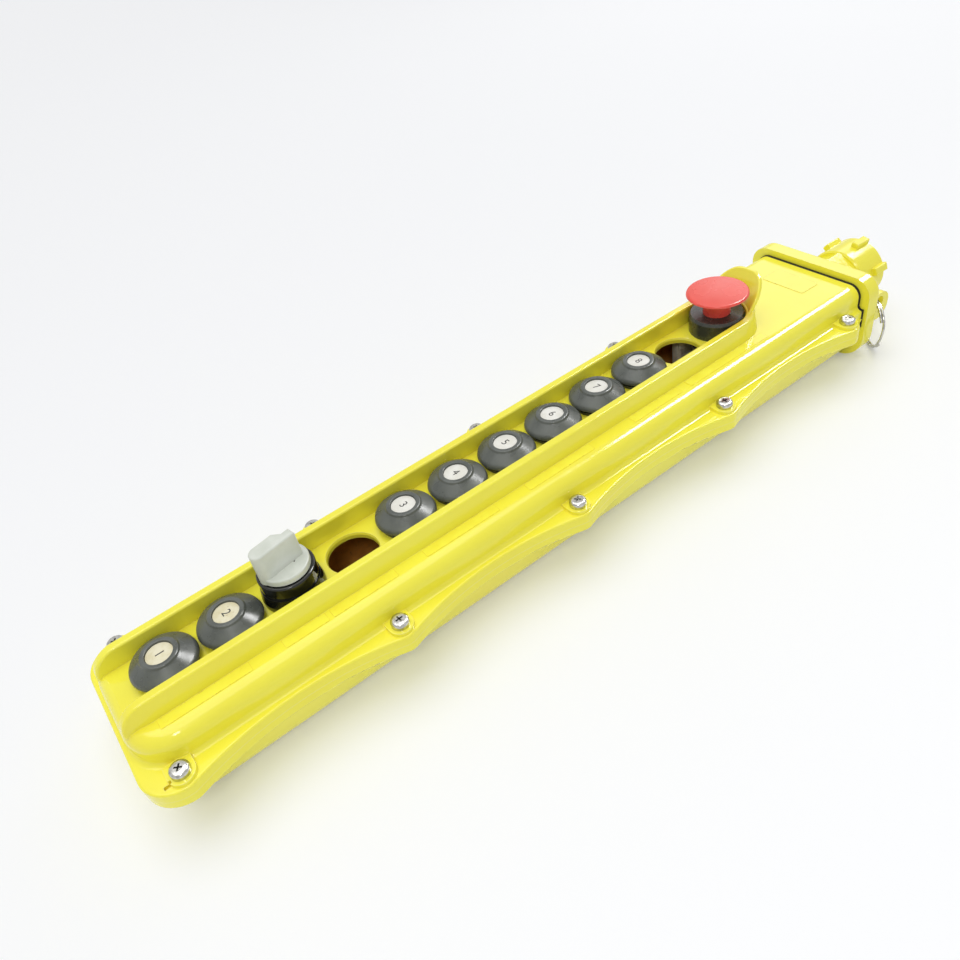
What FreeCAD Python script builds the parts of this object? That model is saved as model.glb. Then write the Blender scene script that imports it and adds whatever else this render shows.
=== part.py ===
import FreeCAD, Part
import math
import os

# Hoist pushbutton pendant, lying on its back: +X to the cable gland, +Z out of the button face, millimetres.
# The origin is on the plane of the flat back, halfway along the whole length.

V = FreeCAD.Vector

# Stations: twelve holes in one row, counted from the lower end
station_count = 12
station_pitch = 30.0
button_stations = (1, 2, 5, 6, 7, 8, 9, 10)
selector_station = 3
estop_station = station_count
station_hole_radius = 12.25
hole_lead_in = 0.5
hole_lead_depth = 1.0

# Lengths along X
lower_margin = 30.5
head_length = 79.5
cap_gasket_thickness = 1.5
band_depth = 10.0
neck_length = 18.7
nut_length = 22.0

# Heights
rear_depth = 29.5
front_flange = 5.0
rear_flange = 6.0
shoulder_rise = 13.7
floor_drop = 0.4
rail_height = 10.3
wall = 3.0
pad_rise = 1.8

# Widths, from the middle outwards
skirt_radius = 14.65
trough_side_gap = 0.75
rim_width = 4.6
rail_draft = 1.8
shelf_width = 13.2
flange_ledge = 5.4
flange_end_ledge = 3.2
lobe_radius = 7.0

# Roundings of the two halves
shoulder_radius = 7.0
groove_radius = 2.5
shoulder_inset = 3.2
shoulder_corner = 20.0
rail_end_inset = 4.5
rail_end_radius = 12.0
rim_round = 1.2
flange_round = 1.0
rear_flange_round = 2.4
lobe_foot_radius = 3.0
rear_inset = 1.4
waist_ledge = 0.3
rear_corner = 22.0
rear_slope = 0.3
rear_round = 15.5

# Guard tongue behind the emergency stop
guard_foot = 16.4
guard_lean = 8.0
guard_thickness = 2.6
guard_half = 15.0
guard_corner = 11.0
guard_height = 25.2
guard_round = 0.8

# Cover screws, five a side
screws_per_side = 5
first_screw_offset = 15.9
last_screw_offset = 17.1
pad_half = 5.8
screw_radius = 2.0
screw_hole_gap = 0.25
screw_head_radius = 4.2
screw_head_height = 3.2
screw_head_round = 1.4
recess_reach = 2.3
recess_width = 0.9
recess_depth = 1.6
insert_wall = 1.2
insert_length = 5.2
insert_play = 0.05
screw_end_gap = 0.5
pry_slot_length = 3.6
pry_slot_width = 1.7
pry_slot_depth = 1.5
pry_slot_offset = 9.5
pry_slot_setback = 5.7

# Seal between the halves, and the liner
land_depth = 4.0
land_width = 7.0
gasket_inset = 4.5
gasket_width = 1.4
gasket_depth = 1.2
gasket_play = 0.05
liner_thickness = 1.2
liner_gap = 0.1
liner_top_gap = 0.3
liner_end_gap = 20.0

# End wall, cap and its gasket
end_wall = 6.0
opening_half = 30.0
opening_low = 9.5
opening_high = 42.0
spigot_gap = 0.25
spigot_wall = 2.5
lip_gap = 0.2
lip_depth = 3.0
lip_reach = 1.7
lip_low = 16.0
lip_high = 38.0
band_margin = 1.8
band_low = 0.8
band_over_shelf = 4.2
band_top_corner = 11.0
band_low_corner = 15.0
band_round = 2.0
gasket_setback = 0.4
gasket_proud = 0.3
cap_wall = 3.5

# Cable gland
gland_height = 28.2
neck_corner = 18.6
thread_radius = 13.8
thread_length = 10.0
thread_play = 0.1
seal_seat = 4.0
seal_radius = 8.0
seal_wall = 2.4
seal_play = 0.1
seal_proud = 0.5
cable_gap = 0.5
washer_thickness = 2.0
washer_play = 0.2
nut_radius = 18.6
nut_mouth = 9.5
nut_edge = 1.0
lug_count = 6
lug_reach = 3.0
lug_width = 4.6
lug_length = 11.0
lug_round = 0.8
lug_turn = 10.0

# Ear and split ring
ear_thickness = 3.4
ear_offset = 34.5
ear_reach = 18.0
ear_low = 18.5
ear_high = 36.2
ear_corner = 8.0
ear_hole_reach = 9.0
ear_hole_height = 30.2
ear_hole_radius = 3.7
ring_radius = 14.4
ring_wire = 0.75
ring_wire_step = 0.7
ring_hang = 0.2
ring_turn = 54.0

# Buttons
button_travel = 3.0
skirt_lift = 3.5
skirt_wall = 1.25
cap_height = 10.2
cap_ceiling = 6.5
cap_flat_radius = 8.4
cap_cone_drop = 4.6
cap_edge_round = 1.6
cap_shoulder_round = 2.2
ceiling_radius = 11.6
ceiling_drop = 1.7
label_radius = 5.9
label_play = 0.1
label_recess = 0.4
label_thickness = 0.8
ring_height = 1.4
ring_width = 0.9
bezel_gap = 0.15
bezel_seat_width = 1.9
bezel_seat_height = 3.0
bezel_tail = 3.8
bezel_tail_radius = 10.5
stem_radius = 4.0
stem_play = 0.08
stem_tip_radius = 3.0
collar_width = 1.6
collar_height = 1.2
collar_gap = 0.2
spring_pocket_radius = 7.8
spring_pocket_depth = 3.6
spring_radius = 6.2
spring_wire = 0.35
spring_sides = 8
spring_turns = 5
spring_end_gap = 0.05

# Contact blocks
block_length = 25.0
block_width = 26.0
block_bottom = 10.0
block_clearance = 0.6
tip_gap = 0.5
well_play = 0.6
well_spare = 1.0
cheek_thickness = 2.0
cheek_length = 10.0
terminal_offset = 8.5
terminal_head_radius = 2.3
terminal_head_height = 1.5
terminal_radius = 1.4
terminal_length = 6.0
terminal_play = 0.1
terminal_slot_width = 0.7
terminal_slot_depth = 0.7

# Operator nuts under the floor, for the selector and the emergency stop
operator_nut_height = 3.5
operator_nut_width = 3.1

# Selector
selector_skirt = 14.4
selector_skirt_height = 2.6
selector_cone = 13.5
selector_waist = 12.6
selector_waist_low = 7.2
selector_waist_height = 1.2
selector_ring = 13.1
selector_top = 14.2
selector_edge = 1.0
selector_bore = 10.2
selector_pocket_depth = 10.2
knob_play = 0.3
knob_gap = 0.4
knob_radius = 11.5
knob_disc = 3.0
knob_round = 0.8
handle_height = 13.3
handle_back = 12.2
handle_tip = 8.3
handle_half = 3.9
handle_tip_width = 4.4
handle_step = 1.5
handle_step_length = 3.0
handle_round = 1.0
handle_turn = 10.5

# Emergency stop
estop_travel = 6.0
estop_skirt = 14.9
estop_top = 10.6
estop_top_radius = 14.0
estop_top_drop = 1.6
estop_neck = 7.5
estop_play = 0.1
estop_pocket_depth = 14.4
estop_pocket_spare = 0.5
head_radius = 16.7
head_height = 23.7
head_crown = 0.6
head_edge = 1.3
head_rim = 2.6
head_under = 1.6
head_foot = 8.6

# Label tape on the near shelf: start and end of each strip from the first station's axis
tape_spans = ((-13.0, 27.0), (42.0, 63.0), (65.0, 98.0), (113.0, 154.0),
              (172.0, 213.0), (240.0, 274.0), (280.0, 340.0))
tape_width = 5.4
tape_margin = 0.4
tape_thickness = 0.15

# Overlap of shapes that are joined or cut
bite = 1.0

# Places along X
body_length = lower_margin + (station_count - 1) * station_pitch + head_length
overall_length = body_length + cap_gasket_thickness + band_depth + neck_length + nut_length
lower_end = -overall_length / 2
body_end = lower_end + body_length
cavity_end = body_end - end_wall
band_start = body_end + cap_gasket_thickness
band_end = band_start + band_depth
neck_end = band_end + neck_length
nut_end = neck_end + nut_length
first_screw = lower_end + first_screw_offset
screw_step = (body_length - first_screw_offset - last_screw_offset) / (screws_per_side - 1)

# Heights above the back
parting = rear_depth
flange_top = parting + front_flange
shelf = flange_top + shoulder_rise
floor_top = shelf - floor_drop
ceiling = floor_top - wall
rim_top = floor_top + rail_height
pad_top = flange_top + pad_rise
land_low = parting - land_depth
bezel_top = floor_top + ring_height
bezel_seat_low = ceiling - bezel_seat_height
bezel_low = bezel_seat_low - bezel_tail
nut_low = ceiling - operator_nut_height
collar_top = bezel_low - collar_gap
collar_low = collar_top - collar_height
cap_top = floor_top + cap_height
cap_under = floor_top + cap_ceiling
skirt_low = floor_top + skirt_lift
spring_floor = bezel_top - spring_pocket_depth
selector_rim = floor_top + selector_top
knob_low = selector_rim - selector_pocket_depth + knob_gap
disc_low = selector_rim + knob_gap
disc_top = disc_low + knob_disc
estop_rim = floor_top + estop_top
estop_pocket_low = estop_rim - estop_pocket_depth
estop_neck_low = estop_pocket_low + estop_travel + estop_pocket_spare
head_top = floor_top + head_height
band_top = shelf + band_over_shelf

# Half widths and radii
trough_half = skirt_radius + trough_side_gap
rail_half = trough_half + rim_width
rail_foot = rail_half + rail_draft
shoulder_half = rail_foot + shelf_width
screw_half = shoulder_half + flange_ledge
lobe_half = screw_half + lobe_radius
rear_half = screw_half - rear_inset
waist_half = rear_half + waist_ledge
flange_end_half = shoulder_half + flange_end_ledge
band_half = rear_half + band_margin
tube_radius = station_hole_radius - bezel_gap
stem_bore = stem_radius + stem_play
collar_radius = stem_radius + collar_width
insert_radius = screw_radius + insert_wall
seal_bore = seal_radius + seal_wall + seal_play
ear_hole_x = band_end + ear_hole_reach


def station_x(number):
    return lower_end + lower_margin + (number - 1) * station_pitch


def screw_places():
    columns = [first_screw + index * screw_step for index in range(screws_per_side)]
    return [(x, side * screw_half) for side in (-1, 1) for x in columns]


def box(x0, x1, y0, y1, z0, z1):
    return Part.makeBox(x1 - x0, y1 - y0, z1 - z0, V(x0, y0, z0))


def post(x, y, z0, z1, radius):
    return Part.makeCylinder(radius, z1 - z0, V(x, y, z0))


def rod(x0, x1, y, z, radius):
    return Part.makeCylinder(radius, x1 - x0, V(x0, y, z), V(1, 0, 0))


def bend(u, v, radius, start, stop):
    # Middle and end of an arc about (u, v), for use as one step of a path
    middle = math.radians((start + stop) / 2)
    last = math.radians(stop)
    return (u + radius * math.cos(middle), v + radius * math.sin(middle),
            u + radius * math.cos(last), v + radius * math.sin(last))


def outline(path, place):
    # Closed wire along a path: a pair is a straight step, four numbers are an arc's middle and end
    edges = []
    here = path[0]
    for step in path[1:] + path[:1]:
        there = step[-2:]
        if math.dist(here, there) < 1e-6:
            continue
        if len(step) == 4:
            edges.append(Part.Arc(place(*here), place(*step[:2]), place(*there)).toShape())
        else:
            edges.append(Part.LineSegment(place(*here), place(*there)).toShape())
        here = there
    return Part.Wire(edges)


def upright(u, z):
    return V(u, 0, z)


def level(x, y):
    return V(x, y, 0)


def across(x):
    return lambda y, z: V(x, y, z)


def turned(path, x):
    # Solid of revolution about an upright axis, from a path in radius and height
    return Part.Face(outline(path, upright)).revolve(V(0, 0, 0), V(0, 0, 1), 360).translated(V(x, 0, 0))


def turned_along(path):
    # Solid of revolution about the gland's axis, from a path in radius and X
    face = Part.Face(outline(path, lambda radius, x: V(x, 0, radius)))
    return face.revolve(V(0, 0, 0), V(1, 0, 0), 360).translated(V(0, 0, gland_height))


def slab(path, x0, x1):
    return Part.Face(outline(path, across(x0))).extrude(V(x1 - x0, 0, 0))


def fused(shapes):
    return shapes[0].fuse(shapes[1:]).removeSplitter()


def edges_at_height(shape, z):
    return [edge for edge in shape.Edges
            if abs(edge.BoundBox.ZMin - z) < 1e-4 and abs(edge.BoundBox.ZMax - z) < 1e-4]


def edges_at_x(shape, x):
    return [edge for edge in shape.Edges
            if abs(edge.BoundBox.XMin - x) < 1e-4 and abs(edge.BoundBox.XMax - x) < 1e-4]


def moulding(path, corner, half, x_face, x_stop, core=True):
    # One profile carried along both sides and round the lower end, with the path's u = 0 on the corner's axis
    face = Part.Face(outline(path, upright))
    x_axis = x_face + corner
    y_axis = half - corner

    def aimed(degrees):
        return face.rotated(V(0, 0, 0), V(0, 0, 1), degrees)

    pieces = [aimed(180).translated(V(x_axis, -y_axis, 0)).extrude(V(0, 2 * y_axis, 0))]
    for side, start in ((1, 90), (-1, 180)):
        run = aimed(90 * side).translated(V(x_axis, side * y_axis, 0))
        pieces.append(run.extrude(V(x_stop - x_axis, 0, 0)))
        quarter = aimed(start).revolve(V(0, 0, 0), V(0, 0, 1), 90)
        pieces.append(quarter.translated(V(x_axis, side * y_axis, 0)))
    if core:
        pieces.append(box(x_axis, x_stop, -y_axis, y_axis, path[0][1], path[-1][1]))
    return fused(pieces)


# Housing

def flange_plate(z0, z1, rounded_z, rounding):
    # Lobes round the screws, joined by hollow arcs tangent to them
    drop = screw_half - waist_half
    hollow = ((screw_step / 2) ** 2 + drop ** 2 - lobe_radius ** 2) / (2 * (lobe_radius + drop))
    lean = math.degrees(math.atan2(hollow - drop, screw_step / 2))
    path = [(lower_end, 0.0), (lower_end, lobe_half - first_screw_offset)]
    path.append(bend(first_screw, lobe_half - first_screw_offset, first_screw_offset, 180, 90))
    arrive = 90
    for index in range(screws_per_side - 1):
        x = first_screw + index * screw_step
        path.append(bend(x, screw_half, lobe_radius, arrive, lean))
        path.append(bend(x + screw_step / 2, waist_half + hollow, hollow, 180 + lean, 360 - lean))
        arrive = 180 - lean
    x = body_end - last_screw_offset
    foot_y = flange_end_half + lobe_foot_radius
    foot_x = x + math.sqrt((lobe_radius + lobe_foot_radius) ** 2 - (foot_y - screw_half) ** 2)
    foot_lean = math.degrees(math.atan2(foot_y - screw_half, foot_x - x))
    path.append(bend(x, screw_half, lobe_radius, arrive, foot_lean))
    path.append(bend(foot_x, foot_y, lobe_foot_radius, 180 + foot_lean, 270))
    path += [(body_end, flange_end_half), (body_end, 0.0)]
    half = Part.Face(outline(path, level)).extrude(V(0, 0, z1 - z0)).translated(V(0, 0, z0))
    whole = fused([half, half.mirror(V(0, 0, 0), V(0, 1, 0))])
    rim = [edge for edge in edges_at_height(whole, rounded_z) if edge.BoundBox.XMin < body_end - bite]
    return whole.makeFillet(rounding, rim)


def trough():
    last = station_x(estop_station)
    run = box(lower_end - bite, last, -trough_half, trough_half, floor_top, rim_top + bite)
    return fused([run, post(last, 0, floor_top, rim_top + bite, trough_half)])


def rail_section():
    # Section of one rail, with a drafted outer side and a rounded rim
    rise = rim_top - shelf
    tilt = math.atan2(rail_draft, rise)
    low = rim_top - rim_round
    base = rim_top - rail_end_radius
    outer_y = rail_foot - rail_draft * (low - shelf) / rise - rim_round / math.cos(tilt)
    inner_y = trough_half + rim_round
    side_top = (outer_y + rim_round * math.cos(tilt), low + rim_round * math.sin(tilt))
    path = [(trough_half, base), (rail_foot, base), (rail_foot, shelf), side_top]
    path += [bend(outer_y, low, rim_round, math.degrees(tilt), 90), (inner_y, rim_top)]
    return path + [bend(inner_y, low, rim_round, 90, 180)]


def rails():
    # Two straight rails that dip round an arc at the lower end and join in a half circle at the other
    nose_x = lower_end + rail_end_inset + rail_end_radius
    last = station_x(estop_station)
    face = Part.Face(outline(rail_section(), across(nose_x)))
    run = face.extrude(V(last - nose_x, 0, 0))
    nose = face.revolve(V(nose_x, 0, rim_top - rail_end_radius), V(0, 1, 0), -90)
    bow_face = Part.Face(outline(rail_section(), upright)).rotated(V(0, 0, 0), V(0, 0, 1), -90)
    bow = bow_face.revolve(V(0, 0, 0), V(0, 0, 1), 180).translated(V(last, 0, 0))
    near = [run, nose]
    return near + [shape.mirror(V(0, 0, 0), V(0, 1, 0)) for shape in near] + [bow]


def guard():
    # Tongue cut from a cone that starts in the rails' bow and leans away from the emergency stop
    axis_x = station_x(estop_station)
    top = floor_top + guard_height
    low = rim_top - rim_round - bite
    slant = guard_lean / (top - rim_top)
    foot = guard_foot - slant * (rim_top - low)
    head = guard_foot + slant * (top + bite - rim_top)
    section = [(foot, low), (foot + guard_thickness, low)]
    section += [(head + guard_thickness, top + bite), (head, top + bite)]
    corner_z, corner_y = top - guard_corner, guard_half - guard_corner
    path = [(guard_half, low), (guard_half, corner_z), bend(corner_y, corner_z, guard_corner, 0, 90)]
    path += [(-corner_y, top), bend(-corner_y, corner_z, guard_corner, 90, 180), (-guard_half, low)]
    tongue = slab(path, axis_x, axis_x + head + guard_thickness + bite)
    blade = turned(section, axis_x).common(tongue)
    rim = [edge for edge in blade.Edges
           if edge.BoundBox.ZMax > low + bite and edge.Length > 2 * guard_thickness]
    return blade.makeFillet(guard_round, rim)


def screw_pads():
    pads = []
    for x, y in screw_places():
        inner = math.copysign(shoulder_half - bite, y)
        pads.append(post(x, y, flange_top - bite, pad_top, pad_half))
        pads.append(box(x - pad_half, x + pad_half, min(y, inner), max(y, inner), flange_top - bite, pad_top))
    return pads


def end_opening():
    return box(cavity_end - bite, body_end + bite, -opening_half, opening_half, opening_low, opening_high)


def station_hole(x):
    lead_low = floor_top - hole_lead_depth
    wide = station_hole_radius + hole_lead_in
    path = [(0.0, ceiling - bite), (station_hole_radius, ceiling - bite), (station_hole_radius, lead_low)]
    path += [(wide, floor_top), (wide, floor_top + bite), (0.0, floor_top + bite)]
    return turned(path, x)


def pry_slot():
    x = lower_end + pry_slot_offset
    y = -(lobe_half - pry_slot_setback)
    low = flange_top - pry_slot_depth
    half_length = pry_slot_length / 2
    half_width = pry_slot_width / 2
    return box(x - half_length, x + half_length, y - half_width, y + half_width, low, pad_top + bite)


def make_front_shell():
    c, g, r = shoulder_corner, groove_radius, shoulder_radius
    path = [(0.0, parting), (c + g, parting), (c + g, flange_top), bend(c + g, flange_top + g, g, -90, -180)]
    path += [(c, shelf - r), bend(c - r, shelf - r, r, 0, 90), (0.0, shelf)]
    face_x = lower_end + shoulder_inset
    hump = moulding(path, c, shoulder_half, face_x, body_end)
    flange = flange_plate(parting, flange_top, flange_top, flange_round)
    solid = fused([hump, flange] + screw_pads())
    solid = fused([solid.cut(trough()), guard()] + rails())

    c, r = shoulder_corner - wall, shoulder_radius - wall
    hollow = [(0.0, parting), (c, parting), (c, ceiling - r)]
    hollow += [bend(c - r, ceiling - r, r, 0, 90), (0.0, ceiling)]
    cuts = [moulding(hollow, c, shoulder_half - wall, face_x + wall, cavity_end), end_opening(), pry_slot()]
    cuts += [station_hole(station_x(number)) for number in range(1, station_count + 1)]
    hole = screw_radius + screw_hole_gap
    cuts += [post(x, y, parting - bite, pad_top + bite, hole) for x, y in screw_places()]
    return solid.cut(cuts)


def rear_path(inset, top):
    # Profile of the rear half's outside, or of a surface inset from it, up to one height
    tilt = math.atan(rear_slope)
    centre_u = rear_corner - rear_slope * (parting - rear_round) - rear_round / math.cos(tilt)
    top_u = rear_corner - rear_slope * (parting - top) - inset / math.cos(tilt)
    arc = bend(centre_u, rear_round, rear_round - inset, -90, -math.degrees(tilt))
    return [(0.0, inset), (centre_u, inset), arc, (top_u, top), (0.0, top)]


def rear_moulding(path, x_stop, core=True):
    return moulding(path, rear_corner, rear_half, lower_end + rear_inset, x_stop, core)


def gasket_path(play):
    middle = rear_corner - gasket_inset
    half = gasket_width / 2 + play
    low = parting - gasket_depth
    return [(middle - half, low), (middle + half, low), (middle + half, parting), (middle - half, parting)]


def make_rear_shell():
    flange = flange_plate(parting - rear_flange, parting, parting - rear_flange, rear_flange_round)
    solid = fused([rear_moulding(rear_path(0.0, parting), body_end), flange])
    land_u = rear_corner - land_width
    hollow = rear_path(wall, land_low)[:-1] + [(land_u, land_low), (land_u, parting), (0.0, parting)]
    cuts = [rear_moulding(hollow, cavity_end), end_opening()]
    cuts.append(rear_moulding(gasket_path(gasket_play), body_end, core=False))
    hole = insert_radius + insert_play
    cuts += [post(x, y, parting - insert_length, parting + bite, hole) for x, y in screw_places()]
    return solid.cut(cuts)


def make_shell_gasket():
    return rear_moulding(gasket_path(0.0), body_end, core=False)


def make_insulating_liner():
    inset = wall + liner_gap
    top = land_low - liner_top_gap
    stop = body_end - liner_end_gap
    outside = rear_moulding(rear_path(inset, top), stop)
    return outside.cut(rear_moulding(rear_path(inset + liner_thickness, top), stop))


def make_cover_screws():
    screws = []
    low = parting - insert_length + screw_end_gap
    high = pad_top + screw_head_height
    for x, y in screw_places():
        head = post(x, y, pad_top, high, screw_head_radius)
        head = head.makeFillet(screw_head_round, edges_at_height(head, high))
        half = recess_width / 2
        long_cut = box(x - recess_reach, x + recess_reach, y - half, y + half, high - recess_depth, high)
        cross_cut = long_cut.rotated(V(x, y, 0), V(0, 0, 1), 90)
        screws.append(fused([head, post(x, y, low, pad_top, screw_radius)]).cut([long_cut, cross_cut]))
    return Part.makeCompound(screws)


def make_screw_inserts():
    inserts = []
    for x, y in screw_places():
        outside = post(x, y, parting - insert_length, parting, insert_radius)
        inserts.append(outside.cut(post(x, y, parting - insert_length, parting, screw_radius + insert_play)))
    return Part.makeCompound(inserts)


def make_label_strips():
    near = -(rail_foot + tape_margin)
    far = near - tape_width
    top = shelf + tape_thickness
    first = station_x(1)
    strips = [box(first + start, first + stop, far, near, shelf, top) for start, stop in tape_spans]
    return Part.makeCompound(strips)


# Cap, gland and ring

def band_path(setback):
    half = band_half - setback
    low, top = band_low + setback, band_top - setback
    low_round, top_round = band_low_corner - setback, band_top_corner - setback
    low_y, top_y = half - low_round, half - top_round
    path = [(-low_y, low), (low_y, low), bend(low_y, low + low_round, low_round, -90, 0)]
    path += [(half, top - top_round), bend(top_y, top - top_round, top_round, 0, 90)]
    path += [(-top_y, top), bend(-top_y, top - top_round, top_round, 90, 180)]
    path += [(-half, low + low_round), bend(-low_y, low + low_round, low_round, 180, 270)]
    return path


def make_cap_gasket():
    # Sheet with the outline of the housing's end, a little inside the rear half and proud of the front
    back = gasket_setback
    axis_y = rear_half - rear_corner
    flat, arc, side = rear_path(back, parting - rear_flange)[1:4]
    foot = shoulder_half + groove_radius
    foot_z = flange_top + groove_radius
    corner = shoulder_radius + gasket_proud
    end_half = flange_end_half + gasket_proud
    top, inner = shelf - shoulder_radius, shoulder_half - shoulder_radius
    path = [(0.0, back), (axis_y + flat[0], flat[1]), (axis_y + arc[0], arc[1], axis_y + arc[2], arc[3])]
    path.append((axis_y + side[0], side[1]))
    path += [(end_half, parting - rear_flange), (end_half, flange_top + gasket_proud)]
    path += [(foot, flange_top + gasket_proud), bend(foot, foot_z, groove_radius - gasket_proud, -90, -180)]
    path += [(shoulder_half + gasket_proud, top), bend(inner, top, corner, 0, 90)]
    path.append((0.0, shelf + gasket_proud))
    half = slab(path, body_end, band_start)
    sheet = fused([half, half.mirror(V(0, 0, 0), V(0, 1, 0))])
    return sheet.cut(box(body_end, band_start, -opening_half, opening_half, opening_low, opening_high))


def ear():
    # Upright plate behind the cap, with a hole across it for the ring
    end = band_end + ear_reach
    end_x = end - ear_corner
    path = [(band_end - bite, ear_low), (end_x, ear_low)]
    path += [bend(end_x, ear_low + ear_corner, ear_corner, -90, 0)]
    path += [(end, ear_high - ear_corner), bend(end_x, ear_high - ear_corner, ear_corner, 0, 90)]
    path += [(band_end - bite, ear_high)]
    plate = Part.Face(outline(path, upright)).extrude(V(0, ear_thickness, 0))
    near = -ear_offset - ear_thickness / 2
    hole = Part.makeCylinder(ear_hole_radius, ear_thickness, V(ear_hole_x, 0, ear_hole_height), V(0, 1, 0))
    return plate.cut(hole).translated(V(0, near, 0))


def make_end_cap():
    band = slab(band_path(0.0), band_start, band_end)
    band = band.makeFillet(band_round, edges_at_x(band, band_end))
    corners = [math.radians(90 + 60 * index) for index in range(6)]
    hexagon = [(neck_corner * math.cos(a), gland_height + neck_corner * math.sin(a)) for a in corners]
    neck = slab(hexagon, band_end - bite, neck_end)
    thread = rod(neck_end - bite, neck_end + thread_length, 0, gland_height, thread_radius)

    half = opening_half - spigot_gap
    low, high = opening_low + spigot_gap, opening_high - spigot_gap
    lip_end = cavity_end - lip_gap
    inner_end = lip_end - lip_depth
    spigot = box(inner_end, band_start + bite, -half, half, low, high)
    lip_half = half + lip_reach
    lips = box(inner_end, lip_end, -lip_half, lip_half, lip_low, lip_high)
    solid = fused([band, neck, thread, spigot, lips, ear()])

    hollow_half = half - spigot_wall
    hollow_low, hollow_high = low + spigot_wall, high - spigot_wall
    hollow = box(inner_end - bite, band_end - cap_wall, -hollow_half, hollow_half, hollow_low, hollow_high)
    passage = rod(inner_end, neck_end, 0, gland_height, seal_radius + cable_gap)
    seat = rod(neck_end - seal_seat, neck_end + thread_length + bite, 0, gland_height, seal_bore)
    return solid.cut([hollow, passage, seat])


def make_gland_seal():
    start = neck_end - seal_seat
    stop = neck_end + thread_length + seal_proud
    outside = rod(start, stop, 0, gland_height, seal_radius + seal_wall)
    return outside.cut(rod(start, stop, 0, gland_height, seal_radius))


def make_gland_washer():
    start = neck_end + thread_length + seal_proud
    stop = start + washer_thickness
    outside = rod(start, stop, 0, gland_height, thread_radius + thread_play - washer_play)
    return outside.cut(rod(start, stop, 0, gland_height, seal_radius + cable_gap))


def make_gland_nut():
    bore = thread_radius + thread_play
    front = neck_end + thread_length + seal_proud + washer_thickness
    path = [(bore, neck_end), (nut_radius - nut_edge, neck_end), (nut_radius, neck_end + nut_edge)]
    path += [(nut_radius, nut_end - nut_edge), (nut_radius - nut_edge, nut_end)]
    path += [(nut_mouth + nut_edge, nut_end), (nut_mouth, nut_end - nut_edge)]
    path += [(nut_mouth, front), (bore, front)]
    pieces = [turned_along(path)]
    lug_end = nut_end - nut_edge
    lug_top = nut_radius + lug_reach
    lug = box(lug_end - lug_length, lug_end, -lug_width / 2, lug_width / 2, bore + bite, lug_top)
    lug = lug.makeFillet(lug_round, edges_at_height(lug, lug_top))
    for index in range(lug_count):
        turn = lug_turn + index * 360 / lug_count
        pieces.append(lug.rotated(V(0, 0, 0), V(1, 0, 0), turn).translated(V(0, 0, gland_height)))
    return fused(pieces)


def make_split_ring():
    # Two turns of wire side by side, hanging from the ear and turned a little outwards
    angle = math.radians(ring_turn)
    axis = V(-math.sin(angle), math.cos(angle), 0)
    top = V(ear_hole_x, -ear_offset, ear_hole_height - ring_hang)
    centre = top - V(0, 0, ring_radius)
    steps = [axis * ring_wire_step, axis * -ring_wire_step]
    return fused([Part.makeTorus(ring_radius, ring_wire, centre + step, axis) for step in steps])


# Operators

def make_button_cap(x):
    well = cap_top - label_recess - label_thickness
    label_hole = label_radius + label_play
    inner = skirt_radius - skirt_wall
    path = [(0.0, well), (label_hole, well), (label_hole, cap_top), (cap_flat_radius, cap_top)]
    path += [(skirt_radius, cap_top - cap_cone_drop), (skirt_radius, skirt_low), (inner, skirt_low)]
    path += [(inner, cap_under - ceiling_drop), (ceiling_radius, cap_under), (0.0, cap_under)]
    cap = turned(path, x)

    def circle_at(radius, z):
        return [edge for edge in edges_at_height(cap, z) if abs(edge.BoundBox.XLength - 2 * radius) < 1e-3]

    cap = cap.makeFillet(cap_edge_round, circle_at(cap_flat_radius, cap_top))
    return cap.makeFillet(cap_shoulder_round, edges_at_height(cap, cap_top - cap_cone_drop))


def make_button_label(x):
    top = cap_top - label_recess
    return post(x, 0, top - label_thickness, top, label_radius)


def block_top(travel):
    return collar_low - travel - block_clearance


def make_stem(x, top, travel):
    tip = block_top(travel) + tip_gap
    path = [(0.0, tip), (stem_tip_radius, tip), (stem_tip_radius, collar_low), (collar_radius, collar_low)]
    path += [(collar_radius, collar_top), (stem_radius, collar_top), (stem_radius, top), (0.0, top)]
    return turned(path, x)


def make_spring(x):
    margin = spring_wire + spring_end_gap
    height = cap_under - spring_floor - 2 * margin
    pitch = height / spring_turns
    helix = Part.Wire(Part.makeHelix(pitch, height, spring_radius).Edges)
    slope = pitch / (2 * math.pi * spring_radius)
    corners = [math.radians((index + 0.5) * 360 / spring_sides) for index in range(spring_sides)]
    points = [V(spring_radius + spring_wire * math.cos(a), 0, spring_wire * math.sin(a)) for a in corners]
    section = Part.makePolygon(points + points[:1])
    section.rotate(V(spring_radius, 0, 0), V(1, 0, 0), math.degrees(math.atan(slope)))
    coil = helix.makePipeShell([section], True, True)
    return Part.Solid(coil).translated(V(x, 0, spring_floor + margin))


def make_button_bezel(x):
    seat = tube_radius + bezel_seat_width
    path = [(stem_bore, bezel_low), (bezel_tail_radius, bezel_low), (bezel_tail_radius, bezel_seat_low)]
    path += [(seat, bezel_seat_low), (seat, ceiling), (tube_radius, ceiling), (tube_radius, bezel_top)]
    path += [(spring_pocket_radius, bezel_top), (spring_pocket_radius, spring_floor)]
    path += [(stem_bore, spring_floor)]
    return turned(path, x)


def make_retaining_ring(x):
    inner = tube_radius + bezel_gap / 2
    outside = post(x, 0, floor_top, bezel_top, inner + ring_width)
    return outside.cut(post(x, 0, floor_top, bezel_top, inner))


def make_operator_nut(x):
    inner = tube_radius + thread_play
    outside = post(x, 0, nut_low, ceiling, inner + operator_nut_width)
    return outside.cut(post(x, 0, nut_low, ceiling, inner))


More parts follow.
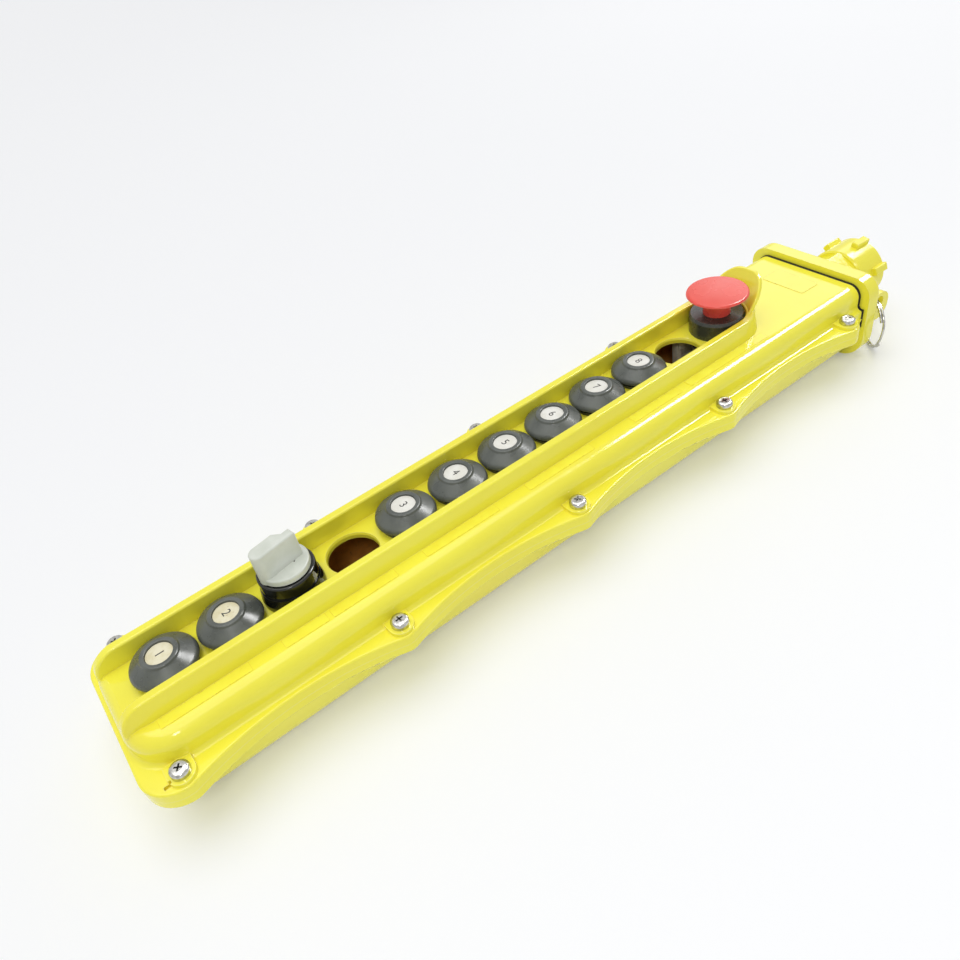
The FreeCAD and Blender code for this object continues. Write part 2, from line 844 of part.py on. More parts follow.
def make_contact_block(x, travel, cheek_top):
    top = block_top(travel)
    half = block_width / 2
    pieces = [box(x - block_length / 2, x + block_length / 2, -half, half, block_bottom, top)]
    reach = cheek_length / 2
    cheek = box(x - reach, x + reach, half - cheek_thickness, half, top - bite, cheek_top)
    pieces += [cheek, cheek.mirror(V(0, 0, 0), V(0, 1, 0))]
    well_low = top + tip_gap - travel - well_spare
    cuts = [post(x, 0, well_low, top + bite, stem_tip_radius + well_play)]
    screw_low = top - terminal_length - terminal_play
    screw_hole = terminal_radius + terminal_play
    cuts += [post(place, 0, screw_low, top + bite, screw_hole) for place in terminal_places(x)]
    return fused(pieces).cut(cuts)


def terminal_places(x):
    return (x - terminal_offset, x + terminal_offset)


def make_terminal_screw(x, travel):
    low = block_top(travel)
    high = low + terminal_head_height
    head = post(x, 0, low, high, terminal_head_radius)
    reach = terminal_head_radius + bite
    half = terminal_slot_width / 2
    slot = box(x - half, x + half, -reach, reach, high - terminal_slot_depth, high + bite)
    return fused([head, post(x, 0, low - terminal_length, low, terminal_radius)]).cut(slot)


def make_selector_bezel(x):
    skirt_top = floor_top + selector_skirt_height
    waist_low = floor_top + selector_waist_low
    waist_high = waist_low + selector_waist_height
    pocket = selector_rim - selector_pocket_depth
    path = [(stem_bore, bezel_low), (bezel_tail_radius, bezel_low), (bezel_tail_radius, nut_low)]
    path += [(tube_radius, nut_low), (tube_radius, floor_top)]
    path += [(selector_skirt, floor_top), (selector_skirt, skirt_top)]
    path += [(selector_cone, waist_low), (selector_waist, waist_low), (selector_waist, waist_high)]
    path += [(selector_ring, waist_high), (selector_ring, selector_rim - selector_edge)]
    path += [bend(selector_ring - selector_edge, selector_rim - selector_edge, selector_edge, 0, 90)]
    path += [(selector_bore, selector_rim), (selector_bore, pocket), (stem_bore, pocket)]
    return turned(path, x)


def make_selector_knob(x):
    neck = selector_bore - knob_play
    path = [(0.0, knob_low), (neck, knob_low), (neck, disc_low), (knob_radius, disc_low)]
    path += [(knob_radius, disc_top - knob_round)]
    path += [bend(knob_radius - knob_round, disc_top - knob_round, knob_round, 0, 90), (0.0, disc_top)]
    disc = turned(path, 0.0)
    round_u = handle_half - handle_back
    tip_v = handle_tip_width - handle_half
    plan = [(handle_tip, -handle_half), (handle_tip, tip_v), (handle_step + handle_step_length, tip_v)]
    plan += [(handle_step, handle_half), (round_u, handle_half), bend(round_u, 0.0, handle_half, 90, 270)]
    top = disc_top + handle_height
    bar = Part.Face(outline(plan, level)).extrude(V(0, 0, top - disc_low)).translated(V(0, 0, disc_low))
    bar = bar.makeFillet(handle_round, edges_at_height(bar, top))
    return fused([disc, bar]).rotated(V(0, 0, 0), V(0, 0, 1), handle_turn).translated(V(x, 0, 0))


def make_estop_bezel(x):
    path = [(stem_bore, bezel_low), (bezel_tail_radius, bezel_low), (bezel_tail_radius, nut_low)]
    path += [(tube_radius, nut_low), (tube_radius, floor_top), (estop_skirt, floor_top)]
    path += [(estop_skirt, estop_rim - estop_top_drop), (estop_top_radius, estop_rim)]
    bore = estop_neck + estop_play
    path += [(bore, estop_rim), (bore, estop_pocket_low), (stem_bore, estop_pocket_low)]
    return turned(path, x)


def make_estop_head(x):
    rim_low = head_top - head_rim
    edge_r = head_radius - head_edge
    crown_z = head_top - head_crown
    path = [(0.0, estop_neck_low), (estop_neck, estop_neck_low), (estop_neck, rim_low - head_under)]
    path += [(head_foot, rim_low - head_under / 2), (edge_r, rim_low), (head_radius, rim_low + head_edge / 2)]
    path += [(head_radius, crown_z - head_edge), bend(edge_r, crown_z - head_edge, head_edge, 0, 90)]
    dome = (edge_r ** 2 + head_crown ** 2) / (2 * head_crown)
    path += [bend(0.0, head_top - dome, dome, math.degrees(math.acos(edge_r / dome)), 90)]
    return turned(path, x)


os.makedirs("parts", exist_ok=True)


def save(name, shape):
    shape.exportStep("parts/" + name + ".step")
    state = "valid" if shape.isValid() else "NOT VALID"
    print(name, len(shape.Solids), "solids", round(shape.Volume), "mm3", state)


button_places = [station_x(number) for number in button_stations]
selector_x = station_x(selector_station)
estop_x = station_x(estop_station)
plain_blocks = [(x, bezel_seat_low) for x in button_places] + [(selector_x, nut_low)]

save("front_shell", make_front_shell())
save("rear_shell", make_rear_shell())
save("shell_gasket", make_shell_gasket())
save("insulating_liner", make_insulating_liner())
save("cover_screws", make_cover_screws())
save("screw_inserts", make_screw_inserts())
save("label_strips", make_label_strips())

save("end_cap", make_end_cap())
save("cap_gasket", make_cap_gasket())
save("gland_seal", make_gland_seal())
save("gland_washer", make_gland_washer())
save("gland_nut", make_gland_nut())
save("split_ring", make_split_ring())

for number, x in zip(button_stations, button_places):
    save(f"button_{number}_cap", make_button_cap(x))
    save(f"button_{number}_label", make_button_label(x))
    save(f"button_{number}_plunger", make_stem(x, cap_under, button_travel))
    save(f"button_{number}_spring", make_spring(x))
save("button_bezels", Part.makeCompound([make_button_bezel(x) for x in button_places]))
save("retaining_rings", Part.makeCompound([make_retaining_ring(x) for x in button_places]))

save("selector_bezel", make_selector_bezel(selector_x))
save("selector_knob", make_selector_knob(selector_x))
save("selector_shaft", make_stem(selector_x, knob_low, button_travel))
save("estop_bezel", make_estop_bezel(estop_x))
save("estop_head", make_estop_head(estop_x))
save("estop_stem", make_stem(estop_x, estop_neck_low, estop_travel))
save("operator_nuts", Part.makeCompound([make_operator_nut(x) for x in (selector_x, estop_x)]))

blocks = [make_contact_block(x, button_travel, cheek_top) for x, cheek_top in plain_blocks]
save("contact_blocks", Part.makeCompound(blocks))
save("estop_block", make_contact_block(estop_x, estop_travel, nut_low))
plain_terminals = [place for x, cheek_top in plain_blocks for place in terminal_places(x)]
terminals = [make_terminal_screw(place, button_travel) for place in plain_terminals]
terminals += [make_terminal_screw(place, estop_travel) for place in terminal_places(estop_x)]
save("terminal_screws", Part.makeCompound(terminals))
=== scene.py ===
import bpy
import math
from mathutils import Matrix, Vector


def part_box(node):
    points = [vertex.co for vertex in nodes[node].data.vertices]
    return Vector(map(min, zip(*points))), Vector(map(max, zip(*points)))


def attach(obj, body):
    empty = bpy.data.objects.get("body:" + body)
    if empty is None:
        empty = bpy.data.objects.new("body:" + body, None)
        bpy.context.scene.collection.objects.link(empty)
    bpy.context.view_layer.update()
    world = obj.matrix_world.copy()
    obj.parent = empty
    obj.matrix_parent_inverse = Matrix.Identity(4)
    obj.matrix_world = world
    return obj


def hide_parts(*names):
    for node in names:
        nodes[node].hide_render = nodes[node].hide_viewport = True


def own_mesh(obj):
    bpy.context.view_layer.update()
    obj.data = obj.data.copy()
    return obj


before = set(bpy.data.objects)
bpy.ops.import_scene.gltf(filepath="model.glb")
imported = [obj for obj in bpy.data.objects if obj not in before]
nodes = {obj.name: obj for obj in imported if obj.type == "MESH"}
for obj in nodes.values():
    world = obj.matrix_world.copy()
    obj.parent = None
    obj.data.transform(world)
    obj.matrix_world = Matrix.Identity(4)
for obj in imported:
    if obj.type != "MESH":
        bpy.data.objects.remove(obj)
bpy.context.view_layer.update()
mm = 0.001
print("frame loaded:", len(nodes), "nodes")


# small helpers

def hexColour(code):  # sRGB hex to linear colour
    channels = [int(code[i:i + 2], 16) / 255 for i in (1, 3, 5)]
    linear = [c / 12.92 if c <= 0.04045 else ((c + 0.055) / 1.055) ** 2.4 for c in channels]
    return (*linear, 1.0)


def addNode(tree, kind, inputs=None, **settings):  # one node, its settings, and values or links by input name
    node = tree.nodes.new(kind)
    for name, value in settings.items():
        setattr(node, name, value)
    for name, value in (inputs or {}).items():
        if isinstance(value, bpy.types.NodeSocket):
            tree.links.new(value, node.inputs[name])
        else:
            node.inputs[name].default_value = value
    return node


def newMaterial(name):
    material = bpy.data.materials.new(name)
    material.use_nodes = True
    tree = material.node_tree
    tree.nodes.clear()
    shader = addNode(tree, "ShaderNodeBsdfPrincipled")
    addNode(tree, "ShaderNodeOutputMaterial", {"Surface": shader.outputs["BSDF"]})
    return material, tree, shader


def perSize(sizeMm):  # texture scale that repeats at a real size
    return 1.0 / (sizeMm * mm)


def setMaterial(piece, material):
    piece.data.materials.clear()
    piece.data.materials.append(material)


def selectOnly(piece):
    bpy.ops.object.select_all(action="DESELECT")
    piece.select_set(True)
    bpy.context.view_layer.objects.active = piece


def selectFacing(piece, way):  # in edit mode, only the faces that look this way
    bpy.ops.mesh.select_all(action="DESELECT")
    bpy.ops.object.mode_set(mode="OBJECT")
    for face in piece.data.polygons:
        face.select = face.normal.dot(Vector(way)) > 0.9
    bpy.ops.object.mode_set(mode="EDIT")


def spinWire(steps, degrees):  # in edit mode, the end of a wire is drawn on round the z axis
    bpy.ops.mesh.spin(steps=steps, angle=math.radians(degrees), center=(0, 0, 0), axis=(0, 0, 1))


def settle(piece):  # the object's place goes into its mesh
    selectOnly(piece)
    bpy.ops.object.transform_apply(location=True, rotation=True, scale=True)


def copyPiece(pattern):  # a copy with its own mesh
    copy = pattern.copy()
    copy.data = pattern.data.copy()
    bpy.context.collection.objects.link(copy)
    return copy


def fitPiece(piece, name, finish, body):
    piece.name = name
    piece.data.name = name
    setMaterial(piece, finishes[finish])
    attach(piece, body)


def middle(node):  # centre of a CAD node's box
    low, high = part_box(node)
    return (low + high) / 2


# materials

finishes = {}

yellowCase = {
    # the corner colour is painted shade with dirt; the pale edge colour is rubbed wear with a painted
    # highlight
    "bright": "#FCF64E", "deep": "#F9EE44", "shadeAndGrime": "#D2AA2C", "speck": "#6A5318", "paleEdge": "#FBF5A0",
    "toneMm": 60, "cornerMm": 5, "edgeMm": 0.7, "speckMm": 6.5, "clusterMm": 45, "smudgeMm": 18,
    "peelMm": 0.9, "peelDeepMm": 0.04, "shadeAndGrimeShare": 0.28, "edgeHighlightAndRubShare": 0.55, "speckShare": 0.5,
    "speckReach": 0.06, "smooth": 0.10, "rough": 0.20, "ior": 1.52,
}


def makeMouldedYellow():
    # glass filled polyester, injection moulded: a semi gloss skin with a faint orange peel; handling has
    # dulled it in smudges and left a few dark specks; its corners are darkened with painted shade and dirt,
    # and its sharp edges made pale with rubbed wear and a painted highlight
    case = yellowCase
    material, tree, shader = newMaterial("mouldedYellowPolyester")
    place = addNode(tree, "ShaderNodeTexCoord").outputs["Object"]
    tone = addNode(tree, "ShaderNodeTexNoise",
                   {"Vector": place, "Scale": perSize(case["toneMm"]), "Detail": 2.0})
    brightness = addNode(tree, "ShaderNodeMapRange",
                         {"Value": tone.outputs["Fac"], "From Min": 0.28, "From Max": 0.72})
    toned = addNode(tree, "ShaderNodeMixRGB",
                    {"Fac": brightness.outputs["Result"], "Color1": hexColour(case["deep"]),
                     "Color2": hexColour(case["bright"])})
    # painted shade with dirt: occluded corners are darkened towards a deep orange yellow
    corner = addNode(tree, "ShaderNodeAmbientOcclusion", {"Distance": case["cornerMm"] * mm},
                     samples=6, only_local=True)
    inCornerShade = addNode(tree, "ShaderNodeMapRange",
                       {"Value": corner.outputs["AO"], "From Min": 0.20, "From Max": 0.62,
                        "To Min": case["shadeAndGrimeShare"], "To Max": 0.0})
    shadedAndGrimed = addNode(tree, "ShaderNodeMixRGB",
                     {"Fac": inCornerShade.outputs["Result"], "Color1": toned.outputs["Color"],
                      "Color2": hexColour(case["shadeAndGrime"])})
    # painted highlight with rubbed wear: open convex edges are lightened towards a pale cream
    faceTurn = addNode(tree, "ShaderNodeNewGeometry").outputs["Normal"]
    softTurn = addNode(tree, "ShaderNodeBevel", {"Radius": case["edgeMm"] * mm}, samples=4)
    likeness = addNode(tree, "ShaderNodeVectorMath", {0: faceTurn, 1: softTurn.outputs["Normal"]},
                       operation="DOT_PRODUCT")
    onEdge = addNode(tree, "ShaderNodeMapRange",
                     {"Value": likeness.outputs["Value"], "From Min": 0.86, "From Max": 0.985,
                      "To Min": case["edgeHighlightAndRubShare"], "To Max": 0.0})
    openEdge = addNode(tree, "ShaderNodeMath", {0: onEdge.outputs["Result"], 1: corner.outputs["AO"]},
                       operation="MULTIPLY")
    paleEdge = addNode(tree, "ShaderNodeMixRGB",
                     {"Fac": openEdge.outputs["Value"], "Color1": shadedAndGrimed.outputs["Color"],
                      "Color2": hexColour(case["paleEdge"])})
    cells = addNode(tree, "ShaderNodeTexVoronoi", {"Vector": place, "Scale": perSize(case["speckMm"])})
    clusters = addNode(tree, "ShaderNodeTexNoise",
                       {"Vector": place, "Scale": perSize(case["clusterMm"]), "Detail": 2.0})
    speckReach = addNode(tree, "ShaderNodeMapRange",
                         {"Value": clusters.outputs["Fac"], "From Min": 0.60, "From Max": 0.78,
                          "To Min": 0.0, "To Max": case["speckReach"]})
    inSpeck = addNode(tree, "ShaderNodeMath", {0: cells.outputs["Distance"], 1: speckReach.outputs["Result"]},
                      operation="LESS_THAN")
    speckShade = addNode(tree, "ShaderNodeMath", {0: inSpeck.outputs["Value"], 1: case["speckShare"]},
                         operation="MULTIPLY")
    speckled = addNode(tree, "ShaderNodeMixRGB",
                       {"Fac": speckShade.outputs["Value"], "Color1": paleEdge.outputs["Color"],
                        "Color2": hexColour(case["speck"])})
    smudge = addNode(tree, "ShaderNodeTexNoise",
                     {"Vector": place, "Scale": perSize(case["smudgeMm"]), "Detail": 3.0, "Roughness": 0.55})
    dull = addNode(tree, "ShaderNodeMapRange",
                   {"Value": smudge.outputs["Fac"], "From Min": 0.40, "From Max": 0.68,
                    "To Min": case["smooth"], "To Max": case["rough"]})
    peel = addNode(tree, "ShaderNodeTexNoise",
                   {"Vector": place, "Scale": perSize(case["peelMm"]), "Detail": 2.0})
    skin = addNode(tree, "ShaderNodeBump",
                   {"Height": peel.outputs["Fac"], "Strength": 0.10, "Distance": case["peelDeepMm"] * mm})
    tree.links.new(speckled.outputs["Color"], shader.inputs["Base Color"])
    tree.links.new(dull.outputs["Result"], shader.inputs["Roughness"])
    tree.links.new(skin.outputs["Normal"], shader.inputs["Normal"])
    shader.inputs["IOR"].default_value = case["ior"]
    return material


finishes["mouldedYellow"] = makeMouldedYellow()

plastics = {
    # nylon of the button caps, rubbed by fingers: charcoal that has gone grey, with a broad satin shine
    "charcoalNylon": {
        "light": "#5F635E", "dark": "#525651", "paleEdge": "#7E817B", "smooth": 0.24, "rough": 0.36,
        "toneMm": 8, "skinMm": 0.7, "skinDepthMm": 0.03, "edgeMm": 0.6, "rub": 0.45},
    # polycarbonate of the selector's bezel: deep black that mirrors the yellow walls
    "blackPolycarbonate": {
        "light": "#1C1D1A", "dark": "#121310", "paleEdge": "#4A4B46", "smooth": 0.07, "rough": 0.17,
        "toneMm": 7, "skinMm": 2.5, "skinDepthMm": 0.01, "edgeMm": 0.5, "rub": 0.5},
    # acetal of the other bezels and their rings: dark grey with a soft shine and rubbed edges
    "greyAcetal": {
        "light": "#41443E", "dark": "#343731", "paleEdge": "#7D7F77", "smooth": 0.20, "rough": 0.32,
        "toneMm": 6, "skinMm": 1.2, "skinDepthMm": 0.02, "edgeMm": 0.5, "rub": 0.5},
    # nylon of the selector's knob: pale grey green and satin, lighter where its edges are rubbed
    "paleNylon": {
        "light": "#DCE0D6", "dark": "#D0D5C9", "paleEdge": "#ECEEE8", "smooth": 0.32, "rough": 0.44,
        "toneMm": 10, "skinMm": 0.8, "skinDepthMm": 0.03, "edgeMm": 0.6, "rub": 0.5},
    # polycarbonate of the mushroom: red, with a semi gloss crown that picks up the pale studio
    "redPolycarbonate": {
        "light": "#F3574A", "dark": "#F05346", "paleEdge": "#F8A79C", "smooth": 0.22, "rough": 0.30,
        "toneMm": 12, "skinMm": 1.4, "skinDepthMm": 0.02, "edgeMm": 0.7, "rub": 0.35},
    # phenolic of the contact blocks: a dull moulding, pale or black
    "creamPhenolic": {
        "light": "#E6E3D4", "dark": "#D6D2BF", "paleEdge": "#F2F0E6", "smooth": 0.42, "rough": 0.56,
        "toneMm": 6, "skinMm": 0.8, "skinDepthMm": 0.03, "edgeMm": 0.4, "rub": 0.4},
    "blackPhenolic": {
        "light": "#2A2825", "dark": "#1D1C1A", "paleEdge": "#56534D", "smooth": 0.36, "rough": 0.50,
        "toneMm": 6, "skinMm": 0.8, "skinDepthMm": 0.03, "edgeMm": 0.4, "rub": 0.4},
    # nitrile rubber of the gaskets and the seal: near black and dull, with a grey bloom on its edges
    "nitrileRubber": {
        "light": "#161615", "dark": "#0F0F0E", "paleEdge": "#2A2A28", "smooth": 0.60, "rough": 0.75,
        "toneMm": 4, "skinMm": 0.6, "skinDepthMm": 0.04, "edgeMm": 0.4, "rub": 0.4},
}


def makePlastic(name):
    # two close tones, a shine that drifts with handling, pale rubbed edges and a fine moulded skin
    sort = plastics[name]
    material, tree, shader = newMaterial(name)
    place = addNode(tree, "ShaderNodeTexCoord").outputs["Object"]
    drift = addNode(tree, "ShaderNodeTexNoise",
                    {"Vector": place, "Scale": perSize(sort["toneMm"]), "Detail": 3.0})
    lightness = addNode(tree, "ShaderNodeMapRange",
                        {"Value": drift.outputs["Fac"], "From Min": 0.38, "From Max": 0.62})
    toned = addNode(tree, "ShaderNodeMixRGB",
                    {"Fac": lightness.outputs["Result"], "Color1": hexColour(sort["dark"]),
                     "Color2": hexColour(sort["light"])})
    faceTurn = addNode(tree, "ShaderNodeNewGeometry").outputs["Normal"]
    softTurn = addNode(tree, "ShaderNodeBevel", {"Radius": sort["edgeMm"] * mm}, samples=4)
    likeness = addNode(tree, "ShaderNodeVectorMath", {0: faceTurn, 1: softTurn.outputs["Normal"]},
                       operation="DOT_PRODUCT")
    onEdge = addNode(tree, "ShaderNodeMapRange",
                     {"Value": likeness.outputs["Value"], "From Min": 0.86, "From Max": 0.985,
                      "To Min": sort["rub"], "To Max": 0.0})
    paleEdge = addNode(tree, "ShaderNodeMixRGB",
                     {"Fac": onEdge.outputs["Result"], "Color1": toned.outputs["Color"],
                      "Color2": hexColour(sort["paleEdge"])})
    dull = addNode(tree, "ShaderNodeMapRange",
                   {"Value": drift.outputs["Fac"], "From Min": 0.35, "From Max": 0.65,
                    "To Min": sort["smooth"], "To Max": sort["rough"]})
    grain = addNode(tree, "ShaderNodeTexNoise",
                    {"Vector": place, "Scale": perSize(sort["skinMm"]), "Detail": 2.0})
    skin = addNode(tree, "ShaderNodeBump",
                   {"Height": grain.outputs["Fac"], "Strength": 0.15, "Distance": sort["skinDepthMm"] * mm})
    tree.links.new(paleEdge.outputs["Color"], shader.inputs["Base Color"])
    tree.links.new(dull.outputs["Result"], shader.inputs["Roughness"])
    tree.links.new(skin.outputs["Normal"], shader.inputs["Normal"])
    return material


for name in plastics:
    finishes[name] = makePlastic(name)

metals = {
    # zinc plated steel of the screws and the ring: bright, and cloudy where the plating has aged
    "zincPlate": {
        "light": "#CFCEC9", "dark": "#A8A7A1", "smooth": 0.10, "rough": 0.24,
        "cloudMm": 1.6, "grainMm": 0.25},
    # drawn spring wire: greyer, with a fine grain
    "springWire": {
        "light": "#ABABA8", "dark": "#8F8F8C", "smooth": 0.22, "rough": 0.34,
        "cloudMm": 1.2, "grainMm": 0.2},
    # turned brass of the inserts and terminals: warm, with a fine grain from the tool
    "turnedBrass": {
        "light": "#CCA656", "dark": "#B38D3F", "smooth": 0.20, "rough": 0.34,
        "cloudMm": 1.5, "grainMm": 0.2},
}


def makeMetal(name):
    # two close tones that cloud with age, smoother where they are lighter, and a fine grain
    sort = metals[name]
    material, tree, shader = newMaterial(name)
    place = addNode(tree, "ShaderNodeTexCoord").outputs["Object"]
    cloud = addNode(tree, "ShaderNodeTexNoise",
                    {"Vector": place, "Scale": perSize(sort["cloudMm"]), "Detail": 4.0})
    lightness = addNode(tree, "ShaderNodeMapRange",
                        {"Value": cloud.outputs["Fac"], "From Min": 0.36, "From Max": 0.60})
    toned = addNode(tree, "ShaderNodeMixRGB",
                    {"Fac": lightness.outputs["Result"], "Color1": hexColour(sort["dark"]),
                     "Color2": hexColour(sort["light"])})
    dull = addNode(tree, "ShaderNodeMapRange",
                   {"Value": cloud.outputs["Fac"], "From Min": 0.35, "From Max": 0.65,
                    "To Min": sort["rough"], "To Max": sort["smooth"]})
    grain = addNode(tree, "ShaderNodeTexNoise",
                    {"Vector": place, "Scale": perSize(sort["grainMm"]), "Detail": 1.0})
    skin = addNode(tree, "ShaderNodeBump",
                   {"Height": grain.outputs["Fac"], "Strength": 0.08, "Distance": 0.01 * mm})
    tree.links.new(toned.outputs["Color"], shader.inputs["Base Color"])
    tree.links.new(dull.outputs["Result"], shader.inputs["Roughness"])
    tree.links.new(skin.outputs["Normal"], shader.inputs["Normal"])
    shader.inputs["Metallic"].default_value = 1.0
    return material


for name in metals:
    finishes[name] = makeMetal(name)

sheets = {
    # laminate of the label discs: white and smooth; the two by the lower end have yellowed and stained
    "whiteLaminate": {
        "light": "#F1F0E8", "dark": "#E9E7DC", "stain": "#CFC9B0",
        "spread": 0.72, "rough": 0.34, "patchMm": 5},
    "agedLaminate": {
        "light": "#EDE7C9", "dark": "#E2D9B2", "stain": "#A98F52",
        "spread": 0.60, "rough": 0.40, "patchMm": 4},
    # ink of the numbers and the pointer mark, a little broken by wear
    "printedInk": {
        "light": "#2F2F2C", "dark": "#252523", "stain": "#6B6A64",
        "spread": 0.66, "rough": 0.50, "patchMm": 0.8},
    # clear film: the yellow of the case shows through it, under an even gloss
    "clearFilm": {
        "light": "#FCF64E", "dark": "#FAF048", "stain": "#F6E640",
        "spread": 0.62, "rough": 0.13, "patchMm": 7},
    # the film's edge, where old glue has gone brown in places
    "filmEdge": {
        "light": "#F7EA4A", "dark": "#F0DE42", "stain": "#B08A2C",
        "spread": 0.58, "rough": 0.24, "patchMm": 3},
    # vulcanised fibre of the lining: brown, dull and cloudy; this brown sheet is painted shade, standing for
    # the case's yellow inside, dim in shade, where it shows through the open stations
    "shadeBrownFibreBoard": {
        "light": "#D8943F", "dark": "#C58334", "stain": "#9A6324",
        "spread": 0.60, "rough": 0.60, "patchMm": 6},
}


def makeSheet(name):
    # a thin stock: two close tones, stains where it is old, and a faint ripple
    sort = sheets[name]
    material, tree, shader = newMaterial(name)
    place = addNode(tree, "ShaderNodeTexCoord").outputs["Object"]
    cloud = addNode(tree, "ShaderNodeTexNoise",
                    {"Vector": place, "Scale": perSize(sort["patchMm"]), "Detail": 4.0})
    lightness = addNode(tree, "ShaderNodeMapRange",
                        {"Value": cloud.outputs["Fac"], "From Min": 0.38, "From Max": 0.60})
    toned = addNode(tree, "ShaderNodeMixRGB",
                    {"Fac": lightness.outputs["Result"], "Color1": hexColour(sort["dark"]),
                     "Color2": hexColour(sort["light"])})
    patches = addNode(tree, "ShaderNodeTexNoise",
                      {"Vector": place, "Scale": perSize(sort["patchMm"] * 0.6), "Detail": 5.0,
                       "Roughness": 0.65})
    inStain = addNode(tree, "ShaderNodeMapRange",
                      {"Value": patches.outputs["Fac"], "From Min": sort["spread"],
                       "From Max": sort["spread"] + 0.12, "To Min": 0.0, "To Max": 0.75})
    stained = addNode(tree, "ShaderNodeMixRGB",
                      {"Fac": inStain.outputs["Result"], "Color1": toned.outputs["Color"],
                       "Color2": hexColour(sort["stain"])})
    dull = addNode(tree, "ShaderNodeMapRange",
                   {"Value": cloud.outputs["Fac"], "From Min": 0.35, "From Max": 0.65,
                    "To Min": sort["rough"] * 0.85, "To Max": sort["rough"] * 1.2})
    ripple = addNode(tree, "ShaderNodeBump",
                     {"Height": cloud.outputs["Fac"], "Strength": 0.08, "Distance": 0.03 * mm})
    tree.links.new(stained.outputs["Color"], shader.inputs["Base Color"])
    tree.links.new(dull.outputs["Result"], shader.inputs["Roughness"])
    tree.links.new(ripple.outputs["Normal"], shader.inputs["Normal"])
    return material


for name in sheets:
    finishes[name] = makeSheet(name)

nodeFinish = {
    "front_shell": "mouldedYellow", "rear_shell": "mouldedYellow", "end_cap": "mouldedYellow",
    "gland_nut": "mouldedYellow", "shell_gasket": "nitrileRubber", "cap_gasket": "nitrileRubber",
    # the liner carries painted shade: a brown sheet standing for the shaded inside of the case
    "gland_seal": "nitrileRubber", "gland_washer": "zincPlate", "insulating_liner": "shadeBrownFibreBoard",
    "cover_screws": "zincPlate", "screw_inserts": "turnedBrass", "label_strips": "clearFilm",
    "split_ring": "zincPlate", "button_bezels": "greyAcetal", "retaining_rings": "greyAcetal",
    "operator_nuts": "blackPolycarbonate", "selector_bezel": "blackPolycarbonate",
    "selector_knob": "paleNylon", "selector_shaft": "zincPlate", "estop_bezel": "greyAcetal",
    "estop_head": "redPolycarbonate", "estop_stem": "zincPlate", "contact_blocks": "blackPhenolic",
    "estop_block": "creamPhenolic", "terminal_screws": "turnedBrass",
}
buttonFinish = {"cap": "charcoalNylon", "label": "whiteLaminate", "plunger": "creamPhenolic",
                "spring": "springWire"}  # by the last word of a button's node
for name, piece in nodes.items():
    kind = nodeFinish.get(name) or buttonFinish[name.rsplit("_", 1)[1]]
    setMaterial(piece, finishes[kind])
print("materials on", len(nodes), "nodes")


# split ring: two turns of round wire, pushed through the ear

splitRing = {"radiusMm": 14.4, "wireMm": 0.74, "layMm": 0.72, "turnDegrees": 54, "startDegrees": 150,
             "flatDegrees": 306, "flatSteps": 51, "climbDegrees": 48, "climbSteps": 8, "sides": 14}


def addSplitRing():
    ring = splitRing
    bpy.ops.object.select_all(action="DESELECT")
    bpy.ops.mesh.primitive_circle_add(vertices=ring["sides"], radius=ring["wireMm"] * mm,
                                      rotation=(math.pi / 2, 0, 0),
                                      location=(ring["radiusMm"] * mm, 0, -ring["layMm"] * mm))
    wire = bpy.context.object
    settle(wire)
    wire.rotation_euler = (0, 0, math.radians(ring["startDegrees"]))
    settle(wire)
    bpy.ops.object.mode_set(mode="EDIT")
    bpy.ops.mesh.select_all(action="SELECT")
    spinWire(ring["flatSteps"], ring["flatDegrees"])
    for step in range(ring["climbSteps"]):  # the wire climbs onto its second turn
        spinWire(1, ring["climbDegrees"] / ring["climbSteps"])
        bpy.ops.transform.translate(value=(0, 0, 2 * ring["layMm"] * mm / ring["climbSteps"]))
    spinWire(ring["flatSteps"], ring["flatDegrees"])
    bpy.ops.mesh.select_all(action="SELECT")
    bpy.ops.mesh.fill_holes(sides=0)  # the two cut ends
    bpy.ops.mesh.normals_make_consistent(inside=False)
    bpy.ops.object.mode_set(mode="OBJECT")
    bpy.ops.object.shade_smooth_by_angle(angle=math.radians(40))
    wire.rotation_euler = (math.pi / 2, 0, math.radians(ring["turnDegrees"]))
    wire.location = middle("split_ring")
    settle(wire)
    fitPiece(wire, "split_ring_wire", "zincPlate", "hanging_ring")
    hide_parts("split_ring")


addSplitRing()
print("split ring wound")


# cover screws: pan heads with a tapered cross recess

coverScrew = {"headMm": 4.2, "riseMm": 3.2, "crownMm": 1.5, "shankMm": 2.0, "recessMm": 4.9,
              "recessWideMm": 1.15, "recessDeepMm": 1.9, "recessTaper": 0.42, "sides": 40,
              "firstTurnDegrees": 20, "nextTurnDegrees": 37}


def cutWith(piece, cutter):
    cut = piece.modifiers.new("recess", "BOOLEAN")
    cut.operation = "DIFFERENCE"
    cut.solver = "EXACT"
    cut.object = cutter
    selectOnly(piece)
    bpy.ops.object.modifier_apply(modifier=cut.name)


